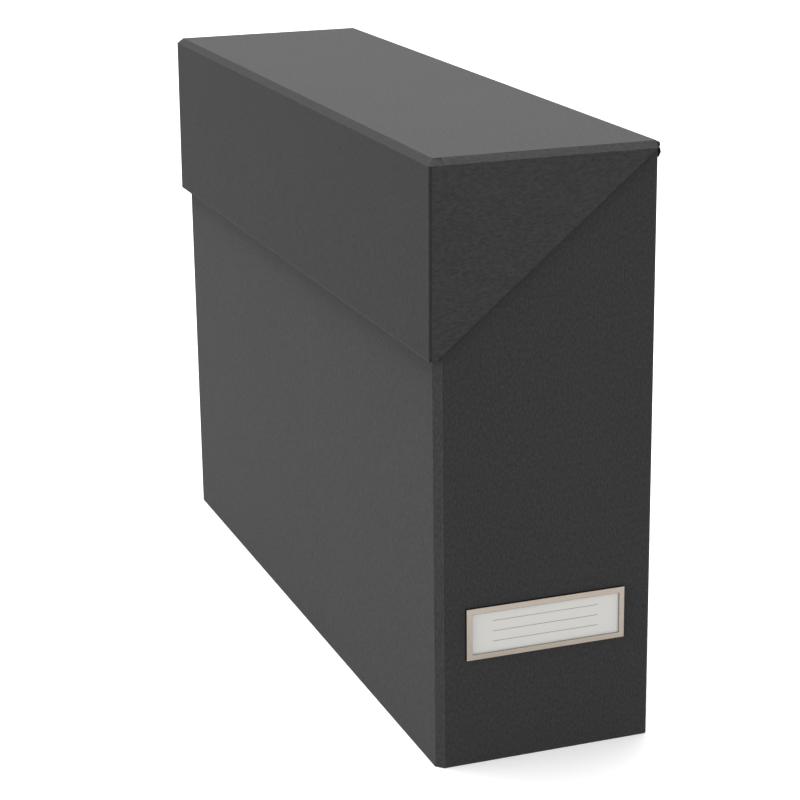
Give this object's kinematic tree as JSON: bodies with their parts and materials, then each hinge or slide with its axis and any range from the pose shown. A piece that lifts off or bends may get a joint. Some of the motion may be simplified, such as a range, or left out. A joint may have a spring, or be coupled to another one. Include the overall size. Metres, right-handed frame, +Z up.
{
  "type": "box file",
  "caption": "Tall, narrow desk box of paper-covered board with a hinged flap lid, rails for hanging files inside and a framed name card on one end.",
  "frame": {"origin": "under the middle of the closed box, on the surface it stands on", "axes": "+X across the box from the flap side to the hinge side, +Y along it from the name-card end to the plain end, +Z up"},
  "size_m": [0.098, 0.3626, 0.25],
  "materials": {
    "cover_paper": "matt embossed covering paper over greyboard",
    "hinge_paper": "matt covering paper",
    "frame_nickel": "satin, warm nickel plate",
    "card_stock": "matt card",
    "rail_steel": "zinc plate"
  },
  "bodies": {
    "body": {"body_walls": "cover_paper", "base_panel": "cover_paper", "hinge_strip": "hinge_paper", "label_frame": "frame_nickel", "label_card": "card_stock", "hook_rail_near": "rail_steel", "rivet_near_left": "rail_steel", "rivet_near_right": "rail_steel", "hook_rail_far": "rail_steel", "rivet_far_left": "rail_steel", "rivet_far_right": "rail_steel"},
    "lid": {"lid": "cover_paper"}
  },
  "joints": [
    {"name": "lid_hinge", "type": "hinge", "parent": "body", "child": "lid", "pos_m": [0.04788, 0, 0.2472], "axis": [0, 1, 0], "range_deg": [0, 180]}
  ]
}
